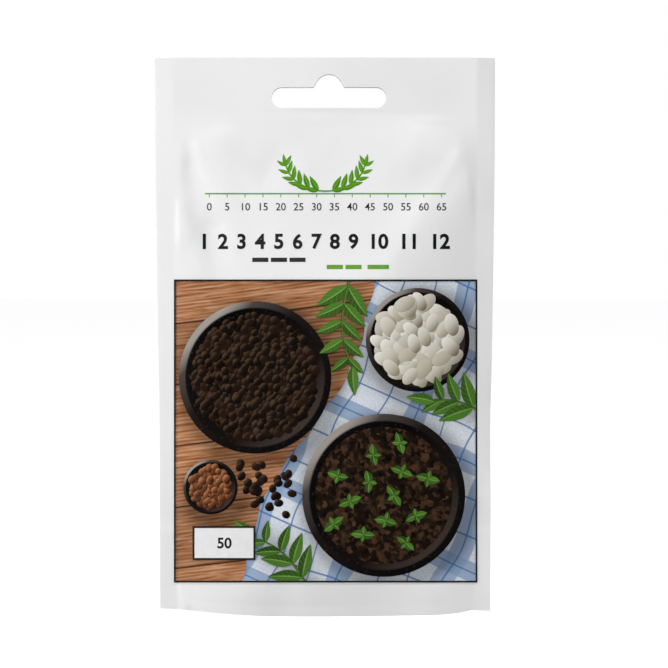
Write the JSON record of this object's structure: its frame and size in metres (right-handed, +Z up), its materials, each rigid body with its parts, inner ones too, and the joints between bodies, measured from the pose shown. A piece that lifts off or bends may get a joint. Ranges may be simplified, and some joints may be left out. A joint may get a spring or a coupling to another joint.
{
  "type": "seed packet",
  "caption": "Upright white film seed packet: flat header with a euro hang slot, bowed faces sealed at the sides, a folded bottom gusset it stands on, and loose seeds inside.",
  "frame": {"origin": "on the ground, under the middle of the packet's width and depth", "axes": "+Z up towards the hang slot; the printed face looks along -Y; +X is to the right of someone facing it"},
  "size_m": [0.095, 0.02, 0.155],
  "materials": {
    "front_film": "white laminated film with a satin face, printed on the front",
    "back_film": "white laminated film with a satin face",
    "bottom_gusset": "white laminated film with a satin face",
    "seeds": "dull reddish brown seed coats"
  },
  "bodies": {
    "root": {"front_film": "front_film", "back_film": "back_film", "bottom_gusset": "bottom_gusset", "seeds": "seeds"}
  },
  "joints": []
}
